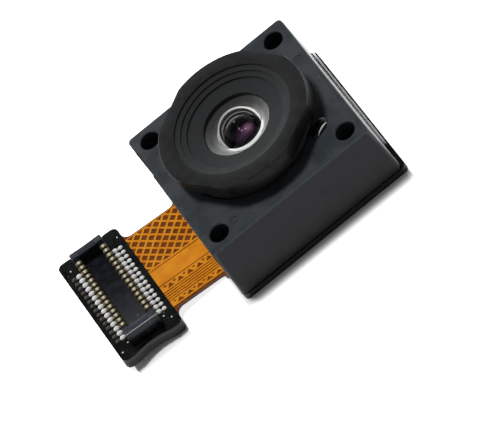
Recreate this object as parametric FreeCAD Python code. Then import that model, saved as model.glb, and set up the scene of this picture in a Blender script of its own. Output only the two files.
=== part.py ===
import FreeCAD, Part
import math
import os

# Wide-angle camera module: a lens screwed into a square moulded holder, an image sensor on a board
# under it, and a flexible tail that ends in a small board with a two-row plug connector.
# Frame: the origin is the centre of the module's base face, +Z is the lens axis, and the tail leaves
# towards -X. All lengths are millimetres.

Vec = FreeCAD.Vector
UP = Vec(0, 0, 1)

# Base stack under the holder, from the base face up
base_stiffener_t = 0.15
film_t = 0.20
cover_layer_t = 0.07
holder_glue_t = 0.05
base_ledge = 0.025
base_front_ledge = 0.20
base_corner_r = 0.35

# Image sensor, and the small parts beside it
sensor_x = 5.6
sensor_y = 4.8
sensor_t = 0.35
cover_glass_t = 0.40
cover_glass_inset = 0.05
ball_r = 0.14
ball_height = 0.18
ball_sides = 6
ball_columns = 6
ball_rows = 5
ball_pitch = 0.80
capacitor_length = 0.60
capacitor_width = 0.30
capacitor_height = 0.30
terminal_length = 0.15
capacitor_count = 4
capacitor_pitch = 1.10

# Holder: the cavity round the sensor, the shelf with the filter, and the threaded tower above it
sensor_side_room = 0.80
sensor_head_room = 0.20
cavity_corner_r = 0.5
filter_t = 0.30
filter_setback = 0.70
filter_clearance = 0.05
filter_land = 0.60
shelf_lip_t = 0.15
thread_depth = 2.28
holder_wall = 1.75
holder_draft_deg = 2.0
holder_corner_r = 0.28
holder_bevel = 0.08
side_relief_depth = 0.07
side_relief_from = 2.05
side_relief_length = 2.1

# Screw holes through the four corners; the layers under the holder have wider clearance holes
screw_inset = 1.035
screw_hole_r = 0.58
layer_hole_clearance = 0.17
screw_overrun = 0.5

# Round marks that the mould leaves on the holder
mark_depth = 0.03
side_mark_r = 0.32
side_mark_inset = 0.62
side_mark_y = 1.95
edge_mark_r = 0.50
edge_mark_inset = 0.85
edge_mark_x = 1.95
pip_mark_r = 0.24
pip_mark_from_hole = 1.065
front_mark_r = 0.28
front_mark_x = 1.45
front_mark_drop = 1.50

# Lens barrel
thread_r = 4.0
thread_clearance = 0.03
barrel_floor_gap = 0.10
head_overhang = 0.47
head_height = 0.95
head_gap = 0.77
head_bevel = 0.10
flat_count = 4
flat_depth = 0.25
flat_turn_deg = 35.0
neck_relief = 0.12
neck_relief_height = 0.20

# Stepped hood in the barrel's front
hood_rim_width = 0.95
hood_step_count = 3
hood_tread = 0.30
hood_riser = 0.10
hood_fall = 0.06
hood_floor_extra = 0.02
stack_bore_r = 2.0
bezel_recess = 0.20
rear_lip_width = 0.70
rear_lip_t = 0.15

# Lens stack: radii and thicknesses, with the sag of each curved face (positive bulges out)
stack_clearance = 0.02
dome_r = 1.27
dome_centre_drop = 0.44
dome_wall = 0.16
flange_t = 0.38
flange_step = 0.06
bezel_cone_drop = 0.30
bezel_lip_overlap = 0.13
front_spacer_t = 0.20
front_spacer_bore = 1.05
second_t = 0.40
second_sag_front = 0.12
second_sag_rear = -0.22
stop_t = 0.05
stop_bore = 0.35
third_t = 0.50
third_sag_front = -0.06
third_sag_rear = 0.12
rear_spacer_bore = 1.20
rear_t = 0.55
rear_sag_front = 0.07
rear_sag_rear = -0.14
lens_clear_r = 1.0
lens_rear_clear_r = 1.15

# Drop of adhesive that locks the lens in the holder
lock_dab_angle_deg = -42.0
lock_dab_r = 0.55
lock_dab_height = 0.50

# Tail: width, free length, bend where it leaves the base, and the copper in it
tail_width = 6.36
tail_reach = 3.39
tail_rise_deg = 5.3
tail_bend_r = 3.0
tail_flare_base_r = 0.40
tail_flare_board_r = 0.50
flare_tip_cut = 0.15
film_overrun = 0.30
copper_t = 0.035

# Copper pattern, from the tail's front edge (-Y) to its back edge
copper_front_margin = 0.11
front_truss_width = 0.47
trace_zone_width = 0.76
trace_count = 4
trace_gap = 0.064
back_truss_width = 0.53
truss_rail = 0.11
copper_gap = 0.06
band_width = 1.22
copper_back_margin = 0.10
mesh_pitch = 0.633
mesh_line = 0.13
mesh_rail = 0.13
mesh_edge = 0.06
mesh_first_row = 0.047
mesh_phase = 0.093
truss_phase = 0.256
truss_line = 0.07
small_opening_share = 0.50

# Plug connector
contact_count = 15
contact_pitch = 0.40
contact_width = 0.20
contact_t = 0.05
contact_fold = 0.07
contact_skirt_bottom = 0.30
contact_foot_length = 0.33
contact_foot_rise = 0.05
plug_end_room = 0.885
plug_width = 2.06
plug_height = 0.95
plug_end_wall = 0.50
plug_floor_t = 0.22
plug_wall_t = 0.32
plug_wall_setback = 0.06
plug_wall_drop = 0.07
plug_bevel = 0.06
anchor_t = 0.04
anchor_length = 0.42
anchor_inset = 0.06

# Solder joints: a mound over each contact's foot, and a lower one that runs out on its pad
joint_gap = 0.01
joint_width = 0.25
joint_length = 0.30
joint_height = 0.20
joint_tail_length = 0.34
joint_tail_height = 0.13
joint_shoulder = 0.7

# Connector board at the tail's end
board_near_margin = 0.95
board_far_margin = 0.91
board_end_margin = 0.655
board_corner_r = 0.36
board_stiffener_t = 0.43
board_waist_depth = 0.18
board_waist_length = 2.4
via_r = 0.05
via_height = 0.03
via_sides = 12
# Tinned pips: corner signs in X and Y, then the distances in from that corner of the board
via_places = [(-1, 1, 0.51, 0.87), (1, 1, 0.26, 0.77), (-1, -1, 0.26, 0.64),
              (-1, -1, 0.81, 1.04), (1, -1, 0.71, 1.08), (1, -1, 0.39, 0.70)]

# Levels of the base stack and the holder
film_z = base_stiffener_t
film_top_z = film_z + film_t
deck_z = film_top_z + cover_layer_t
holder_z = deck_z + holder_glue_t
cavity_top_z = deck_z + ball_height + sensor_t + cover_glass_t + sensor_head_room
shelf_top_z = cavity_top_z + filter_t + shelf_lip_t
holder_top_z = shelf_top_z + thread_depth

# Widths that follow from the sensor outwards
cavity_side = sensor_x + 2 * sensor_side_room
holder_side = cavity_side + 2 * holder_wall
draft_slope = math.tan(math.radians(holder_draft_deg))
base_side = holder_side + 2 * (holder_top_z - holder_z) * draft_slope + 2 * base_ledge
filter_side = cavity_side - 2 * filter_setback
filter_window = filter_side - 2 * filter_land
screw_at = holder_side / 2 - screw_inset
layer_hole_r = screw_hole_r + layer_hole_clearance
screw_places = [(sx * screw_at, sy * screw_at) for sx in (-1, 1) for sy in (-1, 1)]

# Lens levels and radii
thread_bore_r = thread_r + thread_clearance
head_r = thread_r + head_overhang
barrel_z = shelf_top_z + barrel_floor_gap
head_z = holder_top_z + head_gap
rim_z = head_z + head_height
hood_r = head_r - hood_rim_width
hood_depth = hood_step_count * (hood_riser + hood_fall) + hood_floor_extra
bezel_top_z = rim_z - hood_depth - bezel_recess
stack_r = stack_bore_r - stack_clearance
dome_centre_z = bezel_top_z - dome_centre_drop
flange_top_z = dome_centre_z - flange_step
flange_z = flange_top_z - flange_t
front_spacer_z = flange_z - front_spacer_t
second_z = front_spacer_z - second_t
stop_z = second_z - stop_t
third_z = stop_z - third_t
rear_z = barrel_z + rear_lip_t
rear_top_z = rear_z + rear_t

# Plug and connector board, as distances from the plug's centre line
plug_length = contact_pitch * (contact_count - 1) + 2 * plug_end_room
plug_wall_out = plug_width / 2 - plug_wall_setback
plug_wall_in = plug_wall_out - plug_wall_t
plug_wall_top = plug_height - plug_wall_drop
contact_foot_end = plug_wall_out + contact_foot_length
joint_start = plug_wall_out + contact_t + joint_gap
joint_neck = joint_start + joint_length
joint_end = joint_neck + joint_tail_length
board_width = plug_width + board_near_margin + board_far_margin
board_length = plug_length + 2 * board_end_margin

# Where the tail starts, bends and ends; the flat places are those before it is raised
tail_x = -base_side / 2
bend_centre = Vec(tail_x, 0, film_z + film_t / 2 + tail_bend_r)
bend_shift = tail_bend_r * math.sin(math.radians(tail_rise_deg))
board_x = tail_x - tail_reach
board_flat_x = tail_x - (tail_reach - bend_shift) / math.cos(math.radians(tail_rise_deg))
board_centre_x = board_flat_x - board_width / 2
plug_x = board_flat_x - board_near_margin - plug_width / 2


def export(name, shape):
    shape.exportStep("parts/" + name + ".step")
    state = "valid" if shape.isValid() else "NOT VALID"
    print(name, len(shape.Solids), "solids,", round(shape.Volume, 4), "mm3", state)


def block(x, y, z, low_corner):
    return Part.makeBox(x, y, z, low_corner)


def centred_block(x, y, z, cx, cy, z0):
    return Part.makeBox(x, y, z, Vec(cx - x / 2, cy - y / 2, z0))


def disc(r, h, x, y, z):
    return Part.makeCylinder(r, h, Vec(x, y, z), UP)


def rounded_outline(lx, ly, r, cx, cy, z):
    # A rectangle with four round corners, as one closed wire
    hx = lx / 2
    hy = ly / 2
    diagonal = r * (1 - math.sqrt(0.5))
    edges = []
    for sx, sy in ((1, 1), (-1, 1), (-1, -1), (1, -1)):
        along = Vec(cx + sx * (hx - r), cy + sy * hy, z)
        aside = Vec(cx + sx * hx, cy + sy * (hy - r), z)
        middle = Vec(cx + sx * (hx - diagonal), cy + sy * (hy - diagonal), z)
        ends = (aside, along) if sx == sy else (along, aside)
        if edges:
            edges.append(Part.LineSegment(edges[-1].lastVertex(True).Point, ends[0]).toShape())
        edges.append(Part.Arc(ends[0], middle, ends[1]).toShape())
    last_end = edges[-1].lastVertex(True).Point
    edges.append(Part.LineSegment(last_end, edges[0].firstVertex(True).Point).toShape())
    return Part.Wire(edges)


def rounded_block(lx, ly, r, h, cx, cy, z):
    return Part.Face(rounded_outline(lx, ly, r, cx, cy, z)).extrude(Vec(0, 0, h))


def turned(edges_or_points):
    # A solid of revolution about the lens axis from a closed outline in the (radius, height) plane
    if isinstance(edges_or_points[0], tuple):
        corners = [Vec(r, 0, z) for r, z in edges_or_points]
        wire = Part.makePolygon(corners + corners[:1])
    else:
        wire = Part.Wire(edges_or_points)
    return Part.Face(wire).revolve(Vec(0, 0, 0), UP, 360)


def ring(r_in, r_out, z, h):
    return disc(r_out, h, 0, 0, z).cut(disc(r_in, h, 0, 0, z))


def sag_arc(r_edge, z_edge, sag, outward):
    # The arc of a lens face from the axis to its edge; outward is +1 for an upper face, -1 for a lower
    radius = (r_edge ** 2 + sag ** 2) / (2 * abs(sag))
    bulge = outward * sag
    side = 1 if bulge > 0 else -1
    half_angle = math.asin(min(1.0, r_edge / radius)) / 2
    centre_z = z_edge + bulge - side * radius
    middle = Vec(radius * math.sin(half_angle), 0, centre_z + side * radius * math.cos(half_angle))
    return Part.Arc(Vec(0, 0, z_edge + bulge), middle, Vec(r_edge, 0, z_edge)).toShape()


def line(r0, z0, r1, z1):
    return Part.LineSegment(Vec(r0, 0, z0), Vec(r1, 0, z1)).toShape()


def element(z, t, r_out, r_front, sag_front, r_rear, sag_rear):
    # One lens: a flat flange with a curved clear face above and below
    top = z + t
    return turned([sag_arc(r_front, top, sag_front, 1), line(r_front, top, r_out, top),
                   line(r_out, top, r_out, z), line(r_out, z, r_rear, z),
                   sag_arc(r_rear, z, sag_rear, -1), line(0, z - sag_rear, 0, top + sag_front)])


def prism(sides, r, h, x, y, z):
    # A small upright post with few flat sides, for what repeats many times
    turns = [2 * math.pi * (k + 0.5) / sides for k in range(sides)]
    corners = [Vec(x + r * math.cos(a), y + r * math.sin(a), z) for a in turns]
    return Part.Face(Part.makePolygon(corners + corners[:1])).extrude(Vec(0, 0, h))


def cut_screw_holes(shape, radius):
    length = holder_top_z + 2 * screw_overrun
    holes = [disc(radius, length, x, y, -screw_overrun) for x, y in screw_places]
    return shape.cut(Part.makeCompound(holes))


def raised(shape):
    # Turns a piece that was drawn level onto the rising tail
    lifted = shape.copy()
    lifted.rotate(bend_centre, Vec(0, 1, 0), tail_rise_deg)
    return lifted


def tail_layer(z_low, z_high, x_start, reach):
    # One layer of the tail seen from the side: level, then a gentle bend, then straight and rising
    angle = math.radians(tail_rise_deg)
    half_width = board_length

    def bent(z, turn, extra):
        drop = bend_centre.z - z
        return Vec(tail_x - drop * math.sin(turn) - extra * math.cos(turn), -half_width,
                   bend_centre.z - drop * math.cos(turn) + extra * math.sin(turn))

    low_end = bent(z_low, angle, reach)
    high_end = bent(z_high, angle, reach)
    edges = [Part.LineSegment(Vec(x_start, -half_width, z_low), bent(z_low, 0, 0)).toShape(),
             Part.Arc(bent(z_low, 0, 0), bent(z_low, angle / 2, 0), bent(z_low, angle, 0)).toShape(),
             Part.LineSegment(bent(z_low, angle, 0), low_end).toShape(),
             Part.LineSegment(low_end, high_end).toShape(),
             Part.LineSegment(high_end, bent(z_high, angle, 0)).toShape(),
             Part.Arc(bent(z_high, angle, 0), bent(z_high, angle / 2, 0), bent(z_high, 0, 0)).toShape(),
             Part.LineSegment(bent(z_high, 0, 0), Vec(x_start, -half_width, z_high)).toShape(),
             Part.LineSegment(Vec(x_start, -half_width, z_high), Vec(x_start, -half_width, z_low)).toShape()]
    return Part.Face(Part.Wire(edges)).extrude(Vec(0, 2 * half_width, 0))


def tail_outline(x_base, x_board):
    # The tail's plan, widened by a round flare where it meets each board, as a tall prism
    half = tail_width / 2
    base_r = tail_flare_base_r
    board_r = tail_flare_board_r
    bite = 1 - math.sqrt(0.5)
    x_in = tail_x
    x_out = board_x

    def side(s):
        return [Vec(x_base, s * (half + base_r), 0), Vec(x_in, s * (half + base_r), 0),
                Vec(x_in - base_r * bite, s * (half + base_r * bite), 0),
                Vec(x_in - base_r, s * half, 0),
                Vec(x_out + board_r, s * half, 0),
                Vec(x_out + board_r * bite, s * (half + board_r * bite), 0),
                Vec(x_out, s * (half + board_r), 0), Vec(x_board, s * (half + board_r), 0)]

    upper = side(1)
    lower = side(-1)
    edges = []
    runs = [(upper[0], lower[0]), (upper[7], lower[7])]
    for p in (upper, lower):
        edges += [Part.Arc(p[1], p[2], p[3]).toShape(), Part.Arc(p[4], p[5], p[6]).toShape()]
        runs += [(p[0], p[1]), (p[3], p[4]), (p[6], p[7])]
    edges += [Part.LineSegment(a, b).toShape() for a, b in runs if (a - b).Length > 1e-6]
    wire = Part.Wire(Part.__sortEdges__(edges))
    return Part.Face(wire).extrude(Vec(0, 0, holder_top_z))


def trimmed_at_board(shape):
    # Ends a tail layer square against the near edge of the connector board's own top layer
    beyond = block(board_width, 2 * board_length, plug_height,
                   Vec(board_flat_x - board_width, -board_length, film_z))
    return shape.cut(raised(beyond))


def base_plate(z, t):
    # One layer under the holder; it stands out a little further on the side away from the tail
    length = base_side + base_front_ledge
    plate = rounded_block(length, base_side, base_corner_r, t, base_front_ledge / 2, 0, z)
    return cut_screw_holes(plate, layer_hole_r)


def board_plate(z, t):
    # The connector board's plan, with a shallow waist in its two short edges
    plate = rounded_block(board_width, board_length, board_corner_r, t, board_centre_x, 0, z)
    sagitta = board_waist_depth
    radius = (board_waist_length ** 2 / 4 + sagitta ** 2) / (2 * sagitta)
    for s in (-1, 1):
        plate = plate.cut(disc(radius, t, board_centre_x, s * (board_length / 2 + radius - sagitta), z))
    return plate


# Base stack

def make_base_stiffener():
    return base_plate(0, base_stiffener_t)


def make_sensor_board():
    return base_plate(film_top_z, cover_layer_t)


def make_flex_film():
    tail = tail_layer(film_z, film_top_z, tail_x + film_overrun, tail_reach + board_width).common(
        tail_outline(tail_x + film_overrun, board_x - film_overrun))
    film = base_plate(film_z, film_t).fuse([tail, raised(board_plate(film_z, film_t))])
    return film.removeSplitter()


def make_holder_glue():
    seat = rounded_block(holder_side, holder_side, holder_corner_r, holder_glue_t, 0, 0, deck_z)
    hollow = rounded_block(cavity_side, cavity_side, cavity_corner_r, holder_glue_t, 0, 0, deck_z)
    return cut_screw_holes(seat.cut(hollow), layer_hole_r)


# Holder

def mould_marks():
    # Shallow round marks on the top face and one on the front face
    half = holder_side / 2
    mark_z = holder_top_z - mark_depth
    pip_x = -screw_at + pip_mark_from_hole
    front_z = holder_top_z - front_mark_drop
    front_y = -half - front_mark_drop * draft_slope + mark_depth
    return [disc(side_mark_r, mark_depth, half - side_mark_inset, side_mark_y, mark_z),
            disc(edge_mark_r, mark_depth, edge_mark_x, -half + edge_mark_inset, mark_z),
            disc(pip_mark_r, mark_depth, pip_x, -screw_at, mark_z),
            Part.makeCylinder(front_mark_r, holder_wall, Vec(front_mark_x, front_y, front_z), Vec(0, -1, 0))]


def make_lens_holder():
    sections = []
    for z, inset in ((holder_z, 0), (holder_top_z - holder_bevel, 0), (holder_top_z, holder_bevel)):
        side = holder_side + 2 * (holder_top_z - z) * draft_slope - 2 * inset
        sections.append(rounded_outline(side, side, holder_corner_r, 0, 0, z))
    body = Part.makeLoft(sections, True, True)
    hollow = rounded_block(cavity_side, cavity_side, cavity_corner_r, cavity_top_z - holder_z, 0, 0, holder_z)
    pocket_side = filter_side + 2 * filter_clearance
    pocket = centred_block(pocket_side, pocket_side, filter_t, 0, 0, cavity_top_z)
    window = centred_block(filter_window, filter_window, shelf_top_z - cavity_top_z, 0, 0, cavity_top_z)
    bore = disc(thread_bore_r, thread_depth, 0, 0, shelf_top_z)
    relief_x = -holder_side / 2 + side_relief_depth
    relief = block(holder_wall, side_relief_length, holder_top_z,
                   Vec(relief_x - holder_wall, side_relief_from, holder_z))
    body = cut_screw_holes(body.cut([hollow, pocket, window, bore, relief]), screw_hole_r)
    return body.cut(mould_marks())


def make_lock_dab():
    # A drop of adhesive on the holder's top face against the lens neck
    angle = math.radians(lock_dab_angle_deg)
    centre_r = thread_bore_r + lock_dab_r
    centre = Vec(centre_r * math.cos(angle), centre_r * math.sin(angle), holder_top_z)
    drop = Part.makeSphere(lock_dab_r, centre, UP)
    squash = FreeCAD.Matrix()
    squash.scale(1, 1, lock_dab_height / lock_dab_r)
    to_origin = FreeCAD.Matrix()
    to_origin.move(centre * -1)
    back = FreeCAD.Matrix()
    back.move(centre)
    drop = drop.transformGeometry(back * squash * to_origin)
    above = block(holder_side, holder_side, lock_dab_r, Vec(-holder_side / 2, -holder_side / 2, holder_top_z))
    return drop.common(above)


# Lens

def make_lens_barrel():
    # From the rim down the hood's steps, down the stack's bore, and back up outside the thread
    outline = [(head_r - head_bevel, rim_z)]
    z = rim_z
    for step in range(hood_step_count):
        r = hood_r - step * hood_tread
        last = step == hood_step_count - 1
        drop = hood_riser + (hood_floor_extra if last else 0)
        inner_r = stack_bore_r if last else r - hood_tread
        outline += [(r, z), (r, z - drop)]
        z -= drop + hood_fall
        if last:
            outline.append((inner_r, z))
    rear_lip_r = stack_bore_r - rear_lip_width
    outline += [(stack_bore_r, rear_z), (rear_lip_r, rear_z), (rear_lip_r, barrel_z),
                (thread_r, barrel_z), (thread_r, holder_top_z - neck_relief_height),
                (thread_r - neck_relief, holder_top_z), (thread_r - neck_relief, head_z), (head_r, head_z),
                (head_r, rim_z - head_bevel)]
    barrel = turned(outline)
    for k in range(flat_count):
        slab = block(head_r, 2 * head_r, head_height, Vec(head_r - flat_depth, -head_r, head_z))
        slab.rotate(Vec(0, 0, 0), UP, flat_turn_deg + k * 360 / flat_count)
        barrel = barrel.cut(slab)
    return barrel


def make_bezel_ring():
    # A ring with a shallow cone on top, hollowed to sit over the dome
    inner_r = dome_r - bezel_lip_overlap
    cone = turned([(inner_r, flange_top_z), (stack_r, flange_top_z), (stack_r, bezel_top_z),
                   (inner_r, bezel_top_z - bezel_cone_drop)])
    return cone.cut(Part.makeSphere(dome_r + stack_clearance, Vec(0, 0, dome_centre_z), UP))


def make_front_element():
    edge_r = math.sqrt(dome_r ** 2 - flange_step ** 2)
    dome_inner_r = dome_r - dome_wall
    half = math.asin(edge_r / dome_r) / 2
    middle = Vec(dome_r * math.sin(half), 0, dome_centre_z + dome_r * math.cos(half))
    dome = Part.Arc(Vec(0, 0, dome_centre_z + dome_r), middle, Vec(edge_r, 0, flange_top_z)).toShape()
    quarter = math.sqrt(0.5) * dome_inner_r
    hollow = Part.Arc(Vec(dome_inner_r, 0, flange_z), Vec(quarter, 0, flange_z + quarter),
                      Vec(0, 0, flange_z + dome_inner_r)).toShape()
    return turned([dome, line(edge_r, flange_top_z, stack_r, flange_top_z),
                   line(stack_r, flange_top_z, stack_r, flange_z),
                   line(stack_r, flange_z, dome_inner_r, flange_z),
                   hollow, line(0, flange_z + dome_inner_r, 0, dome_centre_z + dome_r)])


def make_front_spacer():
    return ring(front_spacer_bore, stack_r, front_spacer_z, front_spacer_t)


def make_second_element():
    return element(second_z, second_t, stack_r, lens_clear_r, second_sag_front, lens_clear_r, second_sag_rear)


def make_aperture_stop():
    return ring(stop_bore, stack_r, stop_z, stop_t)


def make_third_element():
    return element(third_z, third_t, stack_r, lens_clear_r, third_sag_front, lens_clear_r, third_sag_rear)


def make_rear_spacer():
    return ring(rear_spacer_bore, stack_r, rear_top_z, third_z - rear_top_z)


def make_rear_element():
    clear_r = lens_rear_clear_r
    return element(rear_z, rear_t, stack_r, clear_r, rear_sag_front, clear_r, rear_sag_rear)


# Filter and sensor

def make_ir_filter():
    return centred_block(filter_side, filter_side, filter_t, 0, 0, cavity_top_z)


def make_solder_balls():
    balls = []
    for i in range(ball_columns):
        for j in range(ball_rows):
            x = (i - (ball_columns - 1) / 2) * ball_pitch
            y = (j - (ball_rows - 1) / 2) * ball_pitch
            balls.append(prism(ball_sides, ball_r, ball_height, x, y, deck_z))
    return Part.makeCompound(balls)


def make_image_sensor():
    return centred_block(sensor_x, sensor_y, sensor_t, 0, 0, deck_z + ball_height)


def make_sensor_cover_glass():
    lx = sensor_x - 2 * cover_glass_inset
    ly = sensor_y - 2 * cover_glass_inset
    return centred_block(lx, ly, cover_glass_t, 0, 0, deck_z + ball_height + sensor_t)


def capacitor_centres():
    capacitor_x = (sensor_x + cavity_side) / 4
    for s in (-1, 1):
        for k in range(capacitor_count):
            yield s * capacitor_x, (k - (capacitor_count - 1) / 2) * capacitor_pitch


def make_capacitors():
    body_length = capacitor_length - 2 * terminal_length
    return Part.makeCompound([centred_block(capacitor_width, body_length, capacitor_height, x, y, deck_z)
                              for x, y in capacitor_centres()])


def make_capacitor_terminals():
    ends = []
    for x, y in capacitor_centres():
        for s in (-1, 1):
            end_y = y + s * (capacitor_length - terminal_length) / 2
            ends.append(centred_block(capacitor_width, terminal_length, capacitor_height, x, end_y, deck_z))
    return Part.makeCompound(ends)


# Tail

def truss_face(x0, x1, y_low, width):
    # A copper strip with large openings, apex up, and small ones, apex down, between two rails
    strip = Part.makePlane(x1 - x0, width, Vec(x0, y_low, 0))
    low = y_low + truss_rail
    high = y_low + width - truss_rail
    reach = mesh_pitch / 2 - truss_line * math.sqrt(2)
    small_reach = reach * small_opening_share
    small_low = high - (high - low) * small_opening_share
    openings = []
    for k in range(int((x1 - x0) / mesh_pitch)):
        cx = x1 - truss_phase - mesh_pitch * k
        small_x = cx - mesh_pitch / 2
        corners = [Vec(cx - reach, low, 0), Vec(cx + reach, low, 0), Vec(cx, high, 0)]
        small = [Vec(small_x - small_reach, high, 0), Vec(small_x, small_low, 0),
                 Vec(small_x + small_reach, high, 0)]
        openings.append(Part.Face(Part.makePolygon(corners + corners[:1])))
        openings.append(Part.Face(Part.makePolygon(small + small[:1])))
    return strip.cut(Part.makeCompound(openings))


def mesh_face(x0, x1, y_low, y_high):
    # The cross-hatched copper: diamond openings on a diagonal grid, between a solid rail and a thin edge
    strip = Part.makePlane(x1 - x0, y_high - y_low, Vec(x0, y_low, 0))
    window = Part.makePlane(x1 - x0, y_high - y_low - mesh_rail - mesh_edge, Vec(x0, y_low + mesh_rail, 0))
    reach = mesh_pitch / 2 - mesh_line / math.sqrt(2)
    step = mesh_pitch / 2
    columns = int((x1 - x0) / step) + 1
    rows = int((y_high - y_low) / step) + 1
    openings = []
    for i in range(columns):
        for j in range(-1, rows):
            if (i + j) % 2:
                continue
            cx = x1 + mesh_phase - step * i
            cy = y_high - mesh_first_row - step * j
            corners = [Vec(cx - reach, cy, 0), Vec(cx, cy + reach, 0),
                       Vec(cx + reach, cy, 0), Vec(cx, cy - reach, 0)]
            openings += Part.Face(Part.makePolygon(corners + corners[:1])).common(window).Faces
    return strip.cut(Part.makeCompound(openings))


def make_flex_copper():
    # The strips lie side by side across the tail, from its front edge to its back edge
    x0 = board_x - film_overrun
    x1 = tail_x
    truss_y = -tail_width / 2 + copper_front_margin
    traces_y = truss_y + front_truss_width
    back_truss_y = traces_y + trace_zone_width
    band_y = back_truss_y + back_truss_width + copper_gap
    mesh_y = band_y + band_width + copper_gap
    faces = [truss_face(x0, x1, truss_y, front_truss_width),
             truss_face(x0, x1, back_truss_y, back_truss_width),
             Part.makePlane(x1 - x0, band_width, Vec(x0, band_y, 0)),
             mesh_face(x0, x1, mesh_y, tail_width / 2 - copper_back_margin)]
    trace_width = (trace_zone_width - trace_gap) / trace_count - trace_gap
    for k in range(trace_count):
        y = traces_y + trace_gap + k * (trace_width + trace_gap)
        faces.append(Part.makePlane(x1 - x0, trace_width, Vec(x0, y, 0)))
    layer = tail_layer(film_top_z, film_top_z + copper_t, tail_x + film_overrun, tail_reach + board_width)
    solids = []
    for face in faces:
        solids += trimmed_at_board(face.extrude(Vec(0, 0, holder_top_z)).common(layer)).Solids
    return Part.makeCompound(solids)


def make_flex_coverlay():
    # The clear film ends flush with the base; the sharp tips of its flares are cut blunt
    layer = tail_layer(film_top_z + copper_t, deck_z, tail_x + film_overrun, tail_reach + board_width)
    plan = tail_outline(tail_x, board_x - film_overrun)
    width = tail_width + 2 * (min(tail_flare_base_r, tail_flare_board_r) - flare_tip_cut)
    blunt = block(tail_reach + film_overrun, width, holder_top_z, Vec(board_x - film_overrun, -width / 2, 0))
    return trimmed_at_board(layer.common(plan).common(blunt))


# Connector board and plug

def make_board_stiffener():
    return raised(board_plate(film_z - board_stiffener_t, board_stiffener_t))


def make_board_coverlay():
    return raised(board_plate(film_top_z, cover_layer_t))


def make_plug_housing():
    body = centred_block(plug_width, plug_length, plug_height, plug_x, 0, deck_z)
    top_edges = [e for e in body.Edges if e.BoundBox.ZMin > deck_z + plug_height - 1e-6]
    body = body.makeChamfer(plug_bevel, top_edges)
    inner_length = plug_length - 2 * plug_end_wall
    trough = centred_block(2 * plug_wall_in, inner_length, plug_height, plug_x, 0, deck_z + plug_floor_t)
    cuts = [trough]
    wall_length = contact_pitch * contact_count + contact_pitch
    for s in (-1, 1):
        side_x = plug_x + s * (plug_wall_out + plug_width / 2)
        side_cut = centred_block(plug_width, wall_length, plug_height, side_x, 0, deck_z)
        crown_x = plug_x + s * plug_width / 2
        crown_cut = centred_block(plug_width, wall_length, plug_height, crown_x, 0, deck_z + plug_wall_top)
        cuts += [side_cut, crown_cut]
    return raised(body.cut(cuts))


def contact_profile(s, y):
    # One stamped contact, folded over the plug's long wall and out to a foot
    inner = plug_wall_in - contact_t
    outer = plug_wall_out + contact_t
    top = plug_wall_top + contact_t
    fold = contact_fold
    foot_top = contact_foot_rise + contact_t
    outline = [(inner, contact_skirt_bottom), (inner, top - fold), (inner + fold, top), (outer - fold, top),
               (outer, top - fold), (outer, foot_top), (contact_foot_end, foot_top),
               (contact_foot_end, contact_foot_rise), (plug_wall_out, contact_foot_rise),
               (plug_wall_out, plug_wall_top), (plug_wall_in, plug_wall_top),
               (plug_wall_in, contact_skirt_bottom)]
    corners = [Vec(plug_x + s * a, y, deck_z + z) for a, z in outline]
    return Part.Face(Part.makePolygon(corners + corners[:1]))


def contact_places():
    for s in (-1, 1):
        for k in range(contact_count):
            yield s, (k - (contact_count - 1) / 2) * contact_pitch


def make_plug_contacts():
    strips = []
    for s, y in contact_places():
        strips.append(contact_profile(s, y - contact_width / 2).extrude(Vec(0, contact_width, 0)))
    return raised(Part.makeCompound(strips))


def make_plug_solder():
    # Each joint is a low mound of solder over the contact's foot that runs out along its pad
    mounds = []
    for s, y in contact_places():
        half = joint_width / 2
        outline = [(joint_start, 0), (joint_start, joint_height * joint_shoulder),
                   ((joint_start + joint_neck) / 2, joint_height),
                   (joint_neck, joint_tail_height * joint_shoulder),
                   ((joint_neck + joint_end) / 2, joint_tail_height), (joint_end, 0)]
        corners = [Vec(plug_x + s * a, y - half, deck_z + z) for a, z in outline]
        mound = Part.Face(Part.makePolygon(corners + corners[:1])).extrude(Vec(0, joint_width, 0))
        foot_x = plug_x + s * (contact_foot_end + plug_wall_out) / 2
        foot = centred_block(contact_foot_length, contact_width, contact_t, foot_x, y,
                             deck_z + contact_foot_rise)
        mounds.append(mound.cut(foot))
    return raised(Part.makeCompound(mounds))


def make_plug_anchors():
    # Thin metal caps let into the outer corners of the plug's two end walls
    caps = []
    for sx in (-1, 1):
        for sy in (-1, 1):
            cx = plug_x + sx * (plug_width / 2 - anchor_inset - anchor_length / 2)
            cy = sy * (plug_length / 2 - plug_end_wall / 2)
            caps.append(centred_block(anchor_length, plug_end_wall - 2 * anchor_inset, anchor_t, cx, cy,
                                      deck_z + plug_height))
    return raised(Part.makeCompound(caps))


def make_board_vias():
    pips = []
    for sx, sy, in_x, in_y in via_places:
        x = board_centre_x + sx * (board_width / 2 - in_x)
        pips.append(prism(via_sides, via_r, via_height, x, sy * (board_length / 2 - in_y), deck_z))
    return raised(Part.makeCompound(pips))


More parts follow.
